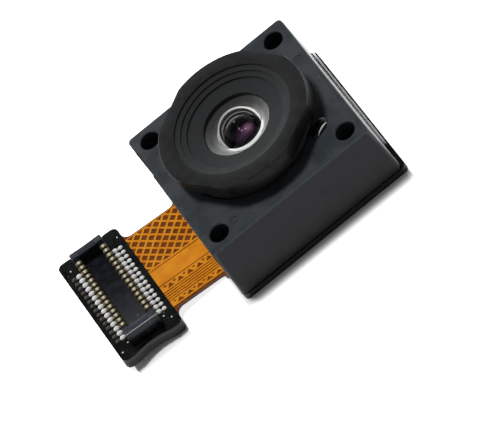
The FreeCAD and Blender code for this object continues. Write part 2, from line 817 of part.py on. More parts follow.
pieces = [
    ("base_stiffener", make_base_stiffener),
    ("flex_film", make_flex_film),
    ("sensor_board", make_sensor_board),
    ("holder_adhesive", make_holder_glue),
    ("lens_holder", make_lens_holder),
    ("lens_lock_adhesive", make_lock_dab),
    ("lens_barrel", make_lens_barrel),
    ("bezel_ring", make_bezel_ring),
    ("front_element", make_front_element),
    ("front_spacer", make_front_spacer),
    ("second_element", make_second_element),
    ("aperture_stop", make_aperture_stop),
    ("third_element", make_third_element),
    ("rear_spacer", make_rear_spacer),
    ("rear_element", make_rear_element),
    ("ir_filter", make_ir_filter),
    ("sensor_solder_balls", make_solder_balls),
    ("image_sensor", make_image_sensor),
    ("sensor_cover_glass", make_sensor_cover_glass),
    ("capacitors", make_capacitors),
    ("capacitor_terminals", make_capacitor_terminals),
    ("flex_copper", make_flex_copper),
    ("flex_coverlay", make_flex_coverlay),
    ("board_stiffener", make_board_stiffener),
    ("board_coverlay", make_board_coverlay),
    ("plug_housing", make_plug_housing),
    ("plug_contacts", make_plug_contacts),
    ("plug_solder", make_plug_solder),
    ("plug_anchors", make_plug_anchors),
    ("board_vias", make_board_vias),
]

os.makedirs("parts", exist_ok=True)
for piece_name, make in pieces:
    export(piece_name, make())
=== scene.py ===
# %% [markdown]
# # A small camera module on a flexible tail
# This file dresses the solid model of a wide-angle camera module: a moulded square holder with a
# lens screwed into it, a flexible circuit tail, and a two-row plug on a little board. The solids say
# where each piece sits and how large it is. Here each visible piece gets its soft edges, its grain
# and its finish, and each step first says what the real piece is and why it is made this way.

# %% Load the solid model
import bmesh
import bpy
import math
from mathutils import Matrix, Vector


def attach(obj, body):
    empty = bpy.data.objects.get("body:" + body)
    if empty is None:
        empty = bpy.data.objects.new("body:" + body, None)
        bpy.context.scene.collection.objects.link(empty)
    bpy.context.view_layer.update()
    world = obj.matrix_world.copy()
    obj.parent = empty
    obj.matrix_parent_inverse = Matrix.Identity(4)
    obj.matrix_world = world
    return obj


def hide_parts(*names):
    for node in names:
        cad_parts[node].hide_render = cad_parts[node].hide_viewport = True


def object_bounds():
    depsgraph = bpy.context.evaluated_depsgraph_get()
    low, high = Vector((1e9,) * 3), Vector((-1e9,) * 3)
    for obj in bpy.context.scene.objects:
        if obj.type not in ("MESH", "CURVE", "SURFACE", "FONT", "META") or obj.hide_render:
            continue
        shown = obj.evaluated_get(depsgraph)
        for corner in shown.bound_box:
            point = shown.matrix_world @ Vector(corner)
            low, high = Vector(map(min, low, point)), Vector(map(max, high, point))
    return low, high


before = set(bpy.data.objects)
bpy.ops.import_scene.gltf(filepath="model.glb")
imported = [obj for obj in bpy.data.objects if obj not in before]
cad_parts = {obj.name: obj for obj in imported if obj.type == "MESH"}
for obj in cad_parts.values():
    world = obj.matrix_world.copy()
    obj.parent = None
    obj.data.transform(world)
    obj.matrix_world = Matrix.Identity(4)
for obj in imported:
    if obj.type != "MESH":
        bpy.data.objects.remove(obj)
solid_low, solid_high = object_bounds()
print(len(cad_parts), "solid pieces, size in mm:", [round(1000 * v, 2) for v in solid_high - solid_low])

# %% [markdown]
# The camera comes first, so that every later look goes through the photograph's own view. It is far
# away with a long lens, as for a product close-up, and it is rolled, because the object lies across
# the picture.

# %% Set up the camera
MM = 0.001


def add_camera(place_mm, right, down, picture_width_px, focal_px):
    forward = right.cross(down)
    turn = Matrix((right, -down, -forward)).transposed()
    data = bpy.data.cameras.new("close_up_camera")
    data.sensor_width = 36
    data.lens = 36 * focal_px / picture_width_px
    data.clip_start = 0.01
    data.clip_end = 20
    camera = bpy.data.objects.new("close_up_camera", data)
    bpy.context.scene.collection.objects.link(camera)
    camera.matrix_world = Matrix.Translation(place_mm * MM) @ turn.to_4x4()
    bpy.context.scene.camera = camera
    return camera


camera = add_camera(Vector((7.603, -209.428, 221.440)),
                    Vector((0.77614, -0.43931, -0.45235)).normalized(),
                    Vector((-0.62961, -0.57942, -0.51756)).normalized(), 480, 5604.7)
print("camera lens", round(camera.data.lens), "mm")

# %% [markdown]
# Colours and masks are worked out by small nodes. These helpers wire them in the same way in a
# material, in a shared group and in the world: arithmetic on numbers, arithmetic on places, and a
# soft step that leads from one value to another.

# %% Helpers that wire nodes
def wire(tree, value, socket):
    """Links a socket to another node's output, or sets it to a plain value."""
    if isinstance(value, bpy.types.NodeSocket):
        tree.links.new(value, socket)
    else:
        socket.default_value = value


def maths(tree, operation, *values):
    node = tree.nodes.new("ShaderNodeMath")
    node.operation = operation
    for value, socket in zip(values, node.inputs):
        wire(tree, value, socket)
    return node.outputs[0]


def place_maths(tree, operation, *values, gives="Value"):
    node = tree.nodes.new("ShaderNodeVectorMath")
    node.operation = operation
    for value, socket in zip(values, node.inputs):
        wire(tree, value, socket)
    return node.outputs[gives]


def soft_step(tree, value, low, high, out_low=0.0, out_high=1.0):
    node = tree.nodes.new("ShaderNodeMapRange")
    node.interpolation_type = "SMOOTHSTEP"
    for name, given_value in (("Value", value), ("From Min", low), ("From Max", high),
                              ("To Min", out_low), ("To Max", out_high)):
        wire(tree, given_value, node.inputs[name])
    return node.outputs["Result"]


def split_place(tree, place):
    node = tree.nodes.new("ShaderNodeSeparateXYZ")
    tree.links.new(place, node.inputs[0])
    return node.outputs


print("node helpers ready")

# %% [markdown]
# The module lies on a white sheet, a large flat disc. In the photograph the floor is washed out to
# pure white, except for a narrow soft shadow along the front. So the sheet glows a little for the
# camera, but not in the footprints of the holder and of the plug's board and not close before them,
# where the real shadow stays as it falls. Mirror images see a small part of the glow.

# %% Lay the white sheet
SIDE_STEEPNESS = 8
# Each footprint in mm: its centre, its half sizes, and how steeply the glow comes back along Y
FOOTPRINTS = ((0.0, -1.2, 5.6, 4.3, 1), (0.0, 0.0, 5.4, 5.3, SIDE_STEEPNESS), (-10.75, -0.9, 1.72, 3.5, 1))
SHADOW_START_MM, SHADOW_END_MM = 0.1, 1.0
GLOW_IN_SHADOW, GLOW_OUTSIDE = 0.02, 0.8
GLOW_IN_MIRRORS = 0.15

bpy.context.scene.view_settings.view_transform = "Standard"


def glow_by_distance(tree):
    coordinates = tree.nodes.new("ShaderNodeTexCoord")
    parts = split_place(tree, coordinates.outputs["Object"])
    nearest = None
    for x, y, half_x, half_y, steep_y in FOOTPRINTS:
        past = []
        for letter, centre, half, steep in (("X", x, half_x, SIDE_STEEPNESS), ("Y", y, half_y, steep_y)):
            from_centre = maths(tree, "ABSOLUTE", maths(tree, "SUBTRACT", parts[letter], centre * MM))
            past.append(maths(tree, "MULTIPLY_ADD", from_centre, steep / MM, -half * steep))
        distance = maths(tree, "MAXIMUM", *past)
        nearest = distance if nearest is None else maths(tree, "MINIMUM", nearest, distance)
    return soft_step(tree, nearest, SHADOW_START_MM, SHADOW_END_MM, GLOW_IN_SHADOW, GLOW_OUTSIDE)


def white_sheet_material():
    material = bpy.data.materials.new("white_sheet")
    material.use_nodes = True
    tree = material.node_tree
    shader = tree.nodes["Principled BSDF"]
    shader.inputs["Base Color"].default_value = (0.93, 0.93, 0.93, 1)
    shader.inputs["Roughness"].default_value = 0.8
    shader.inputs["Emission Color"].default_value = (1, 1, 1, 1)
    rays = tree.nodes.new("ShaderNodeLightPath")
    seen = rays.outputs["Is Camera Ray"]
    for kind in ("Is Glossy Ray", "Is Transmission Ray"):
        seen = maths(tree, "MULTIPLY_ADD", rays.outputs[kind], GLOW_IN_MIRRORS, seen)
    glow = maths(tree, "MULTIPLY", seen, glow_by_distance(tree))
    wire(tree, glow, shader.inputs["Emission Strength"])
    return material


bpy.ops.object.select_all(action="DESELECT")
bpy.ops.mesh.primitive_circle_add(vertices=96, radius=1.5, fill_type="NGON", location=(0, 0, solid_low.z))
sheet = bpy.context.object
sheet.name = "white_sheet"
sheet.data.materials.append(white_sheet_material())
print("sheet at z =", round(1000 * solid_low.z, 3), "mm")

# %% [markdown]
# The light is soft and plain. A pale surround lights the object from everywhere, brightest near the
# horizon behind it and dim overhead, as in a light tent with an open top. One lamp above and a little
# behind gives the short soft shadow; it is left out of the mirror images, as a polarising filter
# would do, so that the black parts stay black.

# %% Light it
def add_lamp(name, place_mm, size_mm, power, target_mm=(0, 0, 3)):
    data = bpy.data.lights.new(name, "AREA")
    data.shape = "DISK"
    data.size = size_mm * MM
    data.energy = power
    lamp = bpy.data.objects.new(name, data)
    bpy.context.scene.collection.objects.link(lamp)
    aim = (Vector(target_mm) - Vector(place_mm)).to_track_quat("-Z", "Y").to_matrix().to_4x4()
    lamp.matrix_world = Matrix.Translation(Vector(place_mm) * MM) @ aim
    return lamp


def light_tent(behind, in_front, overhead):
    """A surround with these strengths; the camera itself sees it plain white."""
    world = bpy.data.worlds.new("light_tent")
    bpy.context.scene.world = world
    world.use_nodes = True
    tree = world.node_tree
    direction = split_place(tree, tree.nodes.new("ShaderNodeTexCoord").outputs["Generated"])
    near_horizon = soft_step(tree, direction["Y"], -0.7, 0.4, in_front, behind)
    tent = soft_step(tree, direction["Z"], 0.12, 0.85, near_horizon, overhead)
    rays = tree.nodes.new("ShaderNodeLightPath")
    strength = tree.nodes.new("ShaderNodeMix")
    strength.data_type = "FLOAT"
    wire(tree, rays.outputs["Is Camera Ray"], strength.inputs["Factor"])
    wire(tree, tent, strength.inputs["A"])
    wire(tree, 1.0, strength.inputs["B"])
    background = tree.nodes["Background"]
    background.inputs["Color"].default_value = (0.97, 0.985, 1, 1)
    wire(tree, strength.outputs["Result"], background.inputs["Strength"])


light_tent(behind=1.0, in_front=0.22, overhead=0.055)
soft_lamp = add_lamp("soft_lamp", (-20, 62, 290), 60, 0.66)
soft_lamp.visible_glossy = False
print("lamp:", round(soft_lamp.data.energy, 2), "watts")

# %% [markdown]
# The tail leaves the holder's base in a gentle bend and rises from there. What sits on the tail is
# easier to model level, so the bend's centre and the rise are named once: they place the finished
# pieces, and they tell a finish how high a point was before the tail was raised.

# %% Name the tail's rise
TAIL_X = -5.508
TAIL_RISE_DEG = 5.3
BEND_CENTRE = Vector((TAIL_X, 0, 3.25))
TO_BEND = Matrix.Translation(BEND_CENTRE)
RAISED = TO_BEND @ Matrix.Rotation(math.radians(TAIL_RISE_DEG), 4, "Y") @ TO_BEND.inverted()
print("a point 5 mm along the tail rises by", round((RAISED @ Vector((TAIL_X - 5, 0, 0))).z, 2), "mm")

# %% [markdown]
# Every finish reads the same coordinates: the object's own, turned into millimetres, so that a grain
# or a scratch has the size it has on the real thing. This class starts a material with them and
# offers the masks that the finishes need: between two values, round a point, about the lens axis.

# %% Start a finish in millimetres
class Finish:
    def __init__(self, name, colour, roughness, metallic=0.0):
        self.material = bpy.data.materials.new(name)
        self.material.use_nodes = True
        self.tree = self.material.node_tree
        self.shader = self.tree.nodes["Principled BSDF"]
        self.shader.inputs["Base Color"].default_value = (*colour, 1)
        self.shader.inputs["Roughness"].default_value = roughness
        self.shader.inputs["Metallic"].default_value = metallic
        self.material.diffuse_color = (*colour, 1)
        coordinates = self.tree.nodes.new("ShaderNodeTexCoord")
        mapping = self.tree.nodes.new("ShaderNodeMapping")
        mapping.inputs["Scale"].default_value = (1 / MM, 1 / MM, 1 / MM)
        self.tree.links.new(coordinates.outputs["Object"], mapping.inputs["Vector"])
        self.place = mapping.outputs["Vector"]

    def set(self, **values):
        for name, value in values.items():
            self.shader.inputs[name.replace("_", " ")].default_value = value

    def feed(self, socket, value):
        self.tree.links.new(value, self.shader.inputs[socket])

    def effect(self, group, **values):
        node = self.tree.nodes.new("ShaderNodeGroup")
        node.node_tree = group
        self.tree.links.new(self.place, node.inputs["Place"])
        for name, value in values.items():
            node.inputs[name.replace("_", " ")].default_value = value
        return node.outputs

    def mix(self, factor, first, second):
        node = self.tree.nodes.new("ShaderNodeMix")
        node.data_type = "RGBA"
        self.tree.links.new(factor, node.inputs["Factor"])
        for socket, value in (("A", first), ("B", second)):
            wire(self.tree, (*value, 1) if isinstance(value, tuple) else value, node.inputs[socket])
        return node.outputs["Result"]

    def between(self, value, low, high, out_low=0.0, out_high=1.0):
        return soft_step(self.tree, value, low, high, out_low, out_high)

    def below(self, value, low, high):
        return soft_step(self.tree, value, low, high, 1.0, 0.0)

    def times(self, first, second):
        return maths(self.tree, "MULTIPLY", first, second)

    def axis(self, letter):
        return split_place(self.tree, self.place)[letter]

    def along(self, direction):
        return place_maths(self.tree, "DOT_PRODUCT", self.place, direction)

    def from_point(self, point_mm):
        return place_maths(self.tree, "DISTANCE", self.place, point_mm)

    def from_lens_axis(self):
        flat = place_maths(self.tree, "MULTIPLY", self.place, (1, 1, 0), gives="Vector")
        return place_maths(self.tree, "LENGTH", flat)

    def from_ellipsoid(self, centre_mm, half_sizes_mm, turn_deg=0.0):
        """0 at the middle of an ellipsoid that is turned about Z, and 1 on its skin."""
        mapping = self.tree.nodes.new("ShaderNodeMapping")
        mapping.vector_type = "TEXTURE"
        mapping.inputs["Location"].default_value = centre_mm
        mapping.inputs["Rotation"].default_value = (0, 0, math.radians(turn_deg))
        mapping.inputs["Scale"].default_value = half_sizes_mm
        self.tree.links.new(self.place, mapping.inputs["Vector"])
        return place_maths(self.tree, "LENGTH", mapping.outputs["Vector"])

    def height_on_tail(self):
        """The height that a point on the tail had before the tail was raised."""
        lean = math.radians(TAIL_RISE_DEG)
        up = Vector((math.sin(lean), 0, math.cos(lean)))
        return maths(self.tree, "ADD", self.along(up), BEND_CENTRE.z - up.dot(BEND_CENTRE))

    def seen_from_outside(self, amount=1.0):
        """The amount on a face seen from outside, and nothing on one seen from within."""
        geometry = self.tree.nodes.new("ShaderNodeNewGeometry")
        return soft_step(self.tree, geometry.outputs["Backfacing"], 0, 1, amount, 0.0)

    def bump(self, height, depth_mm, strength=1.0, normal=None):
        node = self.tree.nodes.new("ShaderNodeBump")
        node.inputs["Distance"].default_value = depth_mm * MM
        node.inputs["Strength"].default_value = strength
        self.tree.links.new(height, node.inputs["Height"])
        if normal is not None:
            self.tree.links.new(normal, node.inputs["Normal"])
        return node.outputs["Normal"]


print("finishes use one unit per millimetre")

# %% [markdown]
# Three effects are shared. The first is the grain of moulded plastic: a fine pebble that the mould's
# spark-eroded wall leaves, over a slow mottle where the melt cooled unevenly.

# %% Build the moulded grain
def start_group(name, numbers, outputs):
    group = bpy.data.node_groups.new(name, "ShaderNodeTree")
    group.interface.new_socket("Place", in_out="INPUT", socket_type="NodeSocketVector")
    for label, value in numbers.items():
        socket = group.interface.new_socket(label, in_out="INPUT", socket_type="NodeSocketFloat")
        socket.default_value = value
    for label in outputs:
        group.interface.new_socket(label, in_out="OUTPUT", socket_type="NodeSocketFloat")
    return group, group.nodes.new("NodeGroupInput").outputs, group.nodes.new("NodeGroupOutput").inputs


def noise(tree, place, scale, detail, roughness=0.5):
    node = tree.nodes.new("ShaderNodeTexNoise")
    node.inputs["Detail"].default_value = detail
    node.inputs["Roughness"].default_value = roughness
    tree.links.new(place, node.inputs["Vector"])
    wire(tree, scale, node.inputs["Scale"])
    return node.outputs["Fac"]


moulded_grain, given, result = start_group("moulded_grain", {"Pebbles per mm": 14, "Mottle per mm": 1.4},
                                           ("Height", "Mottle"))
pebble = noise(moulded_grain, given["Place"], given["Pebbles per mm"], 3)
mottle = noise(moulded_grain, given["Place"], given["Mottle per mm"], 5, 0.62)
height = maths(moulded_grain, "ADD", maths(moulded_grain, "MULTIPLY", mottle, 0.35), pebble)
moulded_grain.links.new(height, result["Height"])
moulded_grain.links.new(soft_step(moulded_grain, mottle, 0.36, 0.66), result["Mottle"])
print("grain group sockets:", [s.name for s in moulded_grain.interface.items_tree])

# %% [markdown]
# The second effect is dust and lint: sparse pale specks of different sizes, which small black parts
# always show under a close-up lens. Voronoi cells give the places and a noise thins them out.

# %% Build the dust
dust, given, result = start_group("dust_specks", {"Cells per mm": 2.5, "Speck size": 0.16}, ("Specks",))
cells = dust.nodes.new("ShaderNodeTexVoronoi")
dust.links.new(given["Place"], cells.inputs["Vector"])
dust.links.new(given["Cells per mm"], cells.inputs["Scale"])
near = maths(dust, "LESS_THAN", cells.outputs["Distance"], given["Speck size"])
thin_out = soft_step(dust, noise(dust, given["Place"], 1.1, 2), 0.55, 0.6)
dust.links.new(maths(dust, "MULTIPLY", near, thin_out), result["Specks"])
print("dust group ready")

# %% [markdown]
# The third is the set of fine rings that turning leaves on a round part. The distance from the lens
# axis feeds a sine, and a little noise keeps the rings from looking drawn.

# %% Build the turned rings
turned_rings, given, result = start_group("turned_rings", {"Rings per mm": 12}, ("Height",))
flat = place_maths(turned_rings, "MULTIPLY", given["Place"], (1, 1, 0), gives="Vector")
radius = place_maths(turned_rings, "LENGTH", flat)
ring_count = maths(turned_rings, "MULTIPLY", radius, given["Rings per mm"])
turns = maths(turned_rings, "MULTIPLY", ring_count, math.tau)
uneven = maths(turned_rings, "MULTIPLY", noise(turned_rings, given["Place"], 5, 2), 4)
wave = maths(turned_rings, "SINE", maths(turned_rings, "ADD", turns, uneven))
turned_rings.links.new(wave, result["Height"])
print("ring group ready")

# %% [markdown]
# The holder is glass-filled black plastic with a blue-grey bloom on its matt skin. Its front face is
# darker, with painted shade deepening towards the foot, and has one soft stain. A paler band along the
# top edge before it is a painted highlight, and the wall on the side of the lock drop was moulded
# against polished steel, so it mirrors the floor.

# %% Holder plastic
HOLDER_SIDE = 10.7
HOLDER_TOP = 4.28


def holder_plastic():
    half = HOLDER_SIDE / 2
    finish = Finish("holder_plastic", (0.012, 0.014, 0.017), 0.4)
    finish.set(Specular_IOR_Level=0.36)
    grain = finish.effect(moulded_grain, Pebbles_per_mm=9.0, Mottle_per_mm=0.75)
    specks = finish.effect(dust, Cells_per_mm=2.2, Speck_size=0.09)
    skin = finish.mix(grain["Mottle"], (0.030, 0.036, 0.041), (0.048, 0.055, 0.060))
    # Painted shade: the front face is painted darker towards the foot.
    painted_foot_shade = finish.between(finish.axis("Z"), 0.6, 3.8)
    front_skin = finish.mix(painted_foot_shade, (0.0005, 0.0, 0.001), (0.010, 0.009, 0.020))
    skin = finish.mix(finish.below(finish.axis("Y"), -half - 0.01, -half + 0.005), skin, front_skin)
    stain = finish.between(finish.from_point((1.42, -5.37, 2.78)), 0.1, 0.4, 0.85, 0.0)
    skin = finish.mix(stain, skin, (0.0, 0.0, 0.0005))
    # Painted highlight: a paler band along the front top edge.
    painted_edge_highlight = finish.times(finish.between(finish.axis("Z"), HOLDER_TOP - 0.09, HOLDER_TOP - 0.06),
                            finish.below(finish.axis("Y"), -half + 0.05, -half + 0.09))
    skin = finish.mix(painted_edge_highlight, skin, (0.06, 0.075, 0.085))
    dusty = finish.times(specks["Specks"], finish.between(finish.axis("Y"), -half - 0.01, -half + 0.005))
    finish.feed("Base Color", finish.mix(dusty, skin, (0.12, 0.12, 0.12)))
    matt = finish.between(grain["Mottle"], 0, 1, 0.30, 0.40)
    polished_wall = finish.between(finish.axis("X"), half - 0.01, half + 0.01)
    finish.feed("Roughness", finish.mix(polished_wall, matt, (0.06, 0.06, 0.06)))
    pebbled = finish.mix(polished_wall, grain["Height"], (0.5, 0.5, 0.5))
    finish.feed("Normal", finish.bump(pebbled, 0.010, 0.4))
    return finish.material


holder_finish = holder_plastic()
print("holder finish has", len(holder_finish.node_tree.nodes), "nodes")

# %% [markdown]
# Modelling in metres would be awkward here, because Blender's tools merge points that are a tenth of
# a millimetre apart. So each piece is modelled with one unit for one millimetre. A last step scales
# it down, lays it on the rising tail where that is its place, and ties it to the solid it stands for.

# %% Helpers for modelling in millimetres
def clear():
    if bpy.context.object and bpy.context.object.mode != "OBJECT":
        bpy.ops.object.mode_set(mode="OBJECT")
    bpy.ops.object.select_all(action="DESELECT")


def make_active(piece):
    clear()
    piece.select_set(True)
    bpy.context.view_layer.objects.active = piece


def block(name, low, high):
    clear()
    low = Vector(low)
    high = Vector(high)
    bpy.ops.mesh.primitive_cube_add(size=1, location=(low + high) / 2)
    piece = bpy.context.object
    piece.name = name
    piece.scale = high - low
    bpy.ops.object.transform_apply(location=True, rotation=True, scale=True)
    return piece


def rod(name, radius, z_low, z_high, x=0.0, y=0.0, sides=64):
    clear()
    middle = (x, y, (z_low + z_high) / 2)
    bpy.ops.mesh.primitive_cylinder_add(vertices=sides, radius=radius, depth=z_high - z_low, location=middle)
    piece = bpy.context.object
    piece.name = name
    bpy.ops.object.transform_apply(location=True, rotation=True, scale=True)
    return piece


def half_ball(name, segments, rings, radius, half_sizes):
    """A ball cut off by the surface it sits on, then stretched about the middle of its base."""
    clear()
    bpy.ops.mesh.primitive_uv_sphere_add(segments=segments, ring_count=rings, radius=radius)
    piece = bpy.context.object
    piece.name = name
    edit(piece)
    bpy.ops.mesh.select_all(action="SELECT")
    bpy.ops.mesh.bisect(plane_co=(0, 0, 0.001), plane_no=(0, 0, -1), use_fill=True, clear_outer=True)
    bpy.ops.mesh.select_all(action="SELECT")
    bpy.ops.transform.resize(value=half_sizes, center_override=(0, 0, 0))
    clear()
    return piece


def edit(piece):
    make_active(piece)
    bpy.ops.object.mode_set(mode="EDIT")
    bpy.ops.mesh.select_all(action="DESELECT")


def pick(piece, kind, test):
    """Selects the faces or edges of the piece that pass a test on their place and direction."""
    bpy.ops.mesh.select_mode(type=kind)
    bpy.ops.mesh.select_all(action="DESELECT")
    mesh = bmesh.from_edit_mesh(piece.data)
    if kind == "FACE":
        found = [f for f in mesh.faces if test(f.calc_center_median(), f.normal)]
    else:
        found = [e for e in mesh.edges
                 if test((e.verts[0].co + e.verts[1].co) / 2, (e.verts[1].co - e.verts[0].co).normalized())]
    for item in found:
        item.select_set(True)
    mesh.select_flush_mode()
    bmesh.update_edit_mesh(piece.data)


def bevel_edges(piece, test, width, segments):
    edit(piece)
    pick(piece, "EDGE", test)
    bpy.ops.mesh.bevel(offset=width, segments=segments, affect="EDGES", clamp_overlap=True)
    clear()


def modify(piece, kind, **settings):
    make_active(piece)
    modifier = piece.modifiers.new(kind.lower(), kind)
    for name, value in settings.items():
        setattr(modifier, name, value)
    bpy.ops.object.modifier_apply(modifier=modifier.name)
    return piece


def soften(piece, width, segments, sharper_than_deg):
    return modify(piece, "BEVEL", width=width, segments=segments, limit_method="ANGLE",
                  angle_limit=math.radians(sharper_than_deg))


def cut(piece, *tools):
    for tool in tools:
        modify(piece, "BOOLEAN", operation="DIFFERENCE", solver="EXACT", object=tool)
        bpy.data.objects.remove(tool)
    return piece


def join(name, pieces):
    clear()
    for piece in pieces:
        piece.select_set(True)
    bpy.context.view_layer.objects.active = pieces[0]
    bpy.ops.object.join()
    bpy.context.object.name = name
    return bpy.context.object


def copy_of(piece, move=(0, 0, 0), turn_z_deg=0.0, centre=(0, 0, 0)):
    twin = piece.copy()
    twin.data = piece.data.copy()
    bpy.context.scene.collection.objects.link(twin)
    centre = Matrix.Translation(Vector(centre))
    turn = centre @ Matrix.Rotation(math.radians(turn_z_deg), 4, "Z") @ centre.inverted()
    twin.data.transform(Matrix.Translation(Vector(move)) @ turn)
    return twin


def settle(piece, name, node, material, smooth_deg=30, on_tail=False):
    """Ends a piece: smooth shading, its place on the tail, metres, its finish and the solid it stands for."""
    make_active(piece)
    piece.name = name
    bpy.ops.object.shade_smooth_by_angle(angle=math.radians(smooth_deg))
    to_metres = Matrix.Scale(MM, 4)
    piece.data.transform(to_metres @ RAISED if on_tail else to_metres)
    piece.data.update()
    piece.data.materials.clear()
    piece.data.materials.append(material)
    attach(piece, "root")
    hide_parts(node)
    print(name, len(piece.data.polygons), "faces, size in mm", [round(1000 * d, 2) for d in piece.dimensions])


print("modelling helpers ready")

# %% [markdown]
# The holder is one moulding: a square block, drafted so that it leaves its mould, with soft upright
# corners and a fine round on its top edge. A cube is enough to start from. Its foot is scaled wider,
# its edges are bevelled, and the openings are cut with solids of their own shape.

# %% Model the holder's block
HOLDER_Z = 0.47
HOLDER_FOOT_SIDE = 10.966
SCREW_AT = 4.315
SCREW_HOLE_R = 0.58


def holder_block():
    half = HOLDER_SIDE / 2
    body = block("holder", (-half, -half, HOLDER_Z), (half, half, HOLDER_TOP))
    edit(body)
    pick(body, "FACE", lambda place, way: way.z < -0.9)
    widen = HOLDER_FOOT_SIDE / HOLDER_SIDE
    bpy.ops.transform.resize(value=(widen, widen, 1))
    bevel_edges(body, lambda place, way: abs(way.z) > 0.9, 0.28, 8)
    bevel_edges(body, lambda place, way: place.z > HOLDER_TOP - 0.01, 0.08, 4)
    return body


holder = holder_block()
print("holder block:", len(holder.data.polygons), "faces")

# %% [markdown]
# Underneath is the hollow for the sensor, above it the seat of the filter glass and its square
# window, and on top the wide bore for the lens. Four screw holes go right through, each with a fine
# lead-in at its mouth, which catches the light as a thin ring.

# %% Cut the holder's openings
LEAD_IN_MM = 0.05


def screw_hole_tool(x, y):
    tool = rod("screw_hole_tool", SCREW_HOLE_R, -0.5, HOLDER_TOP - LEAD_IN_MM, x, y, 48)
    edit(tool)
    pick(tool, "FACE", lambda place, way: way.z > 0.9)
    bpy.ops.mesh.extrude_region_move(TRANSFORM_OT_translate={"value": (0, 0, LEAD_IN_MM)})
    bpy.ops.transform.resize(value=(1.07, 1.07, 1))
    bpy.ops.mesh.extrude_region_move(TRANSFORM_OT_translate={"value": (0, 0, 0.5)})
    clear()
    return tool


def square_tool(name, half, z_low, z_high):
    return block(name, (-half, -half, z_low), (half, half, z_high))


hollow = square_tool("hollow_tool", 3.6, 0.2, 1.55)
bevel_edges(hollow, lambda place, way: abs(way.z) > 0.9, 0.5, 6)
cut(holder, hollow, square_tool("filter_seat_tool", 2.95, 1.5, 1.85), square_tool("window_tool", 2.3, 1.6, 2.2),
    rod("lens_bore_tool", 4.03, 2.0, 5.0, sides=128))
cut(holder, *[screw_hole_tool(sx * SCREW_AT, sy * SCREW_AT) for sx in (-1, 1) for sy in (-1, 1)])
print("after the openings:", len(holder.data.polygons), "faces")

# %% [markdown]
# The mould's ejector pins and inserts leave shallow round marks on the top face, and the side towards
# the tail is relieved a little. They are only a few hundredths of a millimetre deep, and they keep
# the large plain faces from looking computed.

# %% Press in the mould marks
MARK_Z = HOLDER_TOP - 0.03
ABOVE_HOLDER = 5

ring_mark = rod("ring_mark_tool", 0.24, MARK_Z, ABOVE_HOLDER, -3.25, -SCREW_AT, 40)
cut(ring_mark, rod("ring_core_tool", 0.15, MARK_Z - 1, ABOVE_HOLDER + 1, -3.25, -SCREW_AT, 40))
cut(holder, rod("pin_mark_tool", 0.32, MARK_Z, ABOVE_HOLDER, 4.73, 1.95, 40),
    rod("insert_mark_tool", 0.50, MARK_Z, ABOVE_HOLDER, 1.95, -4.50, 48), ring_mark,
    block("relief_tool", (-7, 2.05, 0.3), (-5.28, 4.15, ABOVE_HOLDER)))
settle(holder, "holder_moulding", "lens_holder", holder_finish)

# %% [markdown]
# Round parts are turned: one half of their section is drawn point by point and spun about the lens
# axis. The outline starts as one point, and each further point is extruded from the last.

# %% Helpers for drawn outlines and turned parts
def arc(centre, radius, from_deg, to_deg, steps):
    angles = [math.radians(from_deg + (to_deg - from_deg) * k / steps) for k in range(steps + 1)]
    return [(centre[0] + radius * math.cos(a), centre[1] + radius * math.sin(a)) for a in angles]


def draw_outline(name, points, closed=True):
    """A chain of edges through points given as (x, z) pairs."""
    clear()
    bpy.ops.mesh.primitive_plane_add(size=0.1, location=(0, 0, 0))
    piece = bpy.context.object
    piece.name = name
    bpy.ops.object.mode_set(mode="EDIT")
    bpy.ops.mesh.select_mode(type="VERT")
    bpy.ops.mesh.select_all(action="SELECT")
    bpy.ops.mesh.merge(type="CENTER")
    bpy.ops.transform.translate(value=(points[0][0], 0, points[0][1]))
    for (x0, z0), (x1, z1) in zip(points, points[1:]):
        bpy.ops.mesh.extrude_region_move(TRANSFORM_OT_translate={"value": (x1 - x0, 0, z1 - z0)})
    if closed:
        mesh = bmesh.from_edit_mesh(piece.data)
        ends = [v for v in mesh.verts if len(v.link_edges) == 1]
        mesh.edges.new(ends)
        bmesh.update_edit_mesh(piece.data)
    bpy.ops.mesh.select_all(action="SELECT")
    return piece


def turned(name, points, steps=128):
    piece = draw_outline(name, points)
    bpy.ops.mesh.spin(steps=steps, angle=math.tau, center=(0, 0, 0), axis=(0, 0, 1))
    bpy.ops.mesh.select_all(action="SELECT")
    bpy.ops.mesh.remove_doubles(threshold=0.0005)
    bpy.ops.mesh.normals_make_consistent(inside=False)
    clear()
    return piece


print("turning helpers ready")

# %% [markdown]
# The barrel's plastic is the same black, with a finer grain. Inside the hood it is painted a little
# paler, and the outer wall of the head is painted nearly black, painted shade.

# %% Barrel plastic
RIM_Z = 6.0
HOOD_R = 3.5


def barrel_plastic():
    finish = Finish("barrel_plastic", (0.01, 0.01, 0.01), 0.42)
    finish.set(Specular_IOR_Level=0.3)
    grain = finish.effect(moulded_grain, Pebbles_per_mm=16.0, Mottle_per_mm=1.8)
    specks = finish.effect(dust, Cells_per_mm=3.0, Speck_size=0.07)
    skin = finish.mix(grain["Mottle"], (0.0145, 0.015, 0.0155), (0.0195, 0.020, 0.020))
    skin = finish.mix(finish.below(finish.from_lens_axis(), HOOD_R - 0.06, HOOD_R), skin, (0.026, 0.027, 0.028))
    # Painted shade: the outer wall of the head is painted nearly black.
    painted_head_wall_shade = finish.times(finish.below(finish.axis("Z"), RIM_Z - 0.10, RIM_Z - 0.04),
                              finish.between(finish.from_lens_axis(), 4.0, 4.15))
    skin = finish.mix(painted_head_wall_shade, skin, (0.0005, 0.0005, 0.0006))
    finish.feed("Base Color", finish.mix(specks["Specks"], skin, (0.06, 0.06, 0.06)))
    finish.feed("Roughness", finish.between(grain["Mottle"], 0, 1, 0.38, 0.48))
    finish.feed("Normal", finish.bump(grain["Height"], 0.008, 0.5))
    return finish.material


barrel_finish = barrel_plastic()
print("barrel finish has", len(barrel_finish.node_tree.nodes), "nodes")

